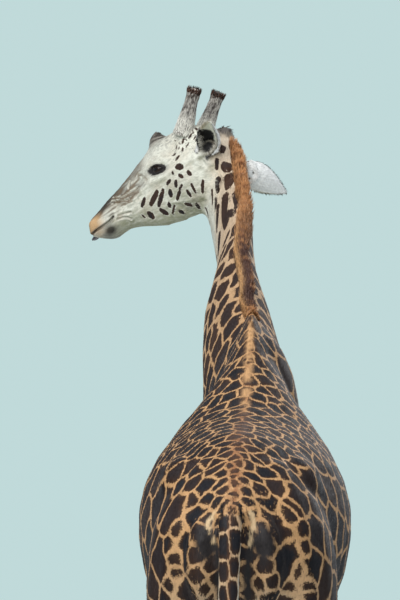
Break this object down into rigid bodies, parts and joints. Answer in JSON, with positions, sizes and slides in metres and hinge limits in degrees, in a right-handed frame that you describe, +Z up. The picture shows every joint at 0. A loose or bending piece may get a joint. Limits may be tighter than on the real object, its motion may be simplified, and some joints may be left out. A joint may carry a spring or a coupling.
{
  "type": "giraffe",
  "caption": "Life-size still model of a Masai giraffe bull, standing square, with the neck reached forward and the head turned to its left.",
  "frame": {"origin": "on the floor, below the middle of the animal's outline", "axes": "+Y the way the body faces, +X to the animal's right, +Z up"},
  "size_m": [1.1022, 3.1646, 4.0596],
  "materials": {
    "coat": "short flat hair: dark brown patches with tawny lines between, paling to cream with small spots on the face",
    "mane_hair": "stiff upright chestnut hair",
    "brush_hair": "long coarse black hair",
    "ossicone": "bony horn under short grey-brown hair, worn nearly bald at the tip",
    "eye": "wet, very dark brown",
    "tongue": "moist, blue-black",
    "hoof": "smooth dark horn, dusty"
  },
  "bodies": {
    "root": {"trunk": "coat", "neck_lower": "coat", "neck_upper": "coat", "head": "coat", "leg_fore_left": "coat", "leg_fore_right": "coat", "leg_hind_left": "coat", "leg_hind_right": "coat", "tail": "coat", "ear_left": "coat", "ear_right": "coat", "mane": "mane_hair", "tail_brush": "brush_hair", "ossicone_left": "ossicone", "ossicone_right": "ossicone", "eye_left": "eye", "eye_right": "eye", "tongue": "tongue", "hoof_fore_left_a": "hoof", "hoof_fore_left_b": "hoof", "hoof_fore_right_a": "hoof", "hoof_fore_right_b": "hoof", "hoof_hind_left_a": "hoof", "hoof_hind_left_b": "hoof", "hoof_hind_right_a": "hoof", "hoof_hind_right_b": "hoof"}
  },
  "joints": []
}
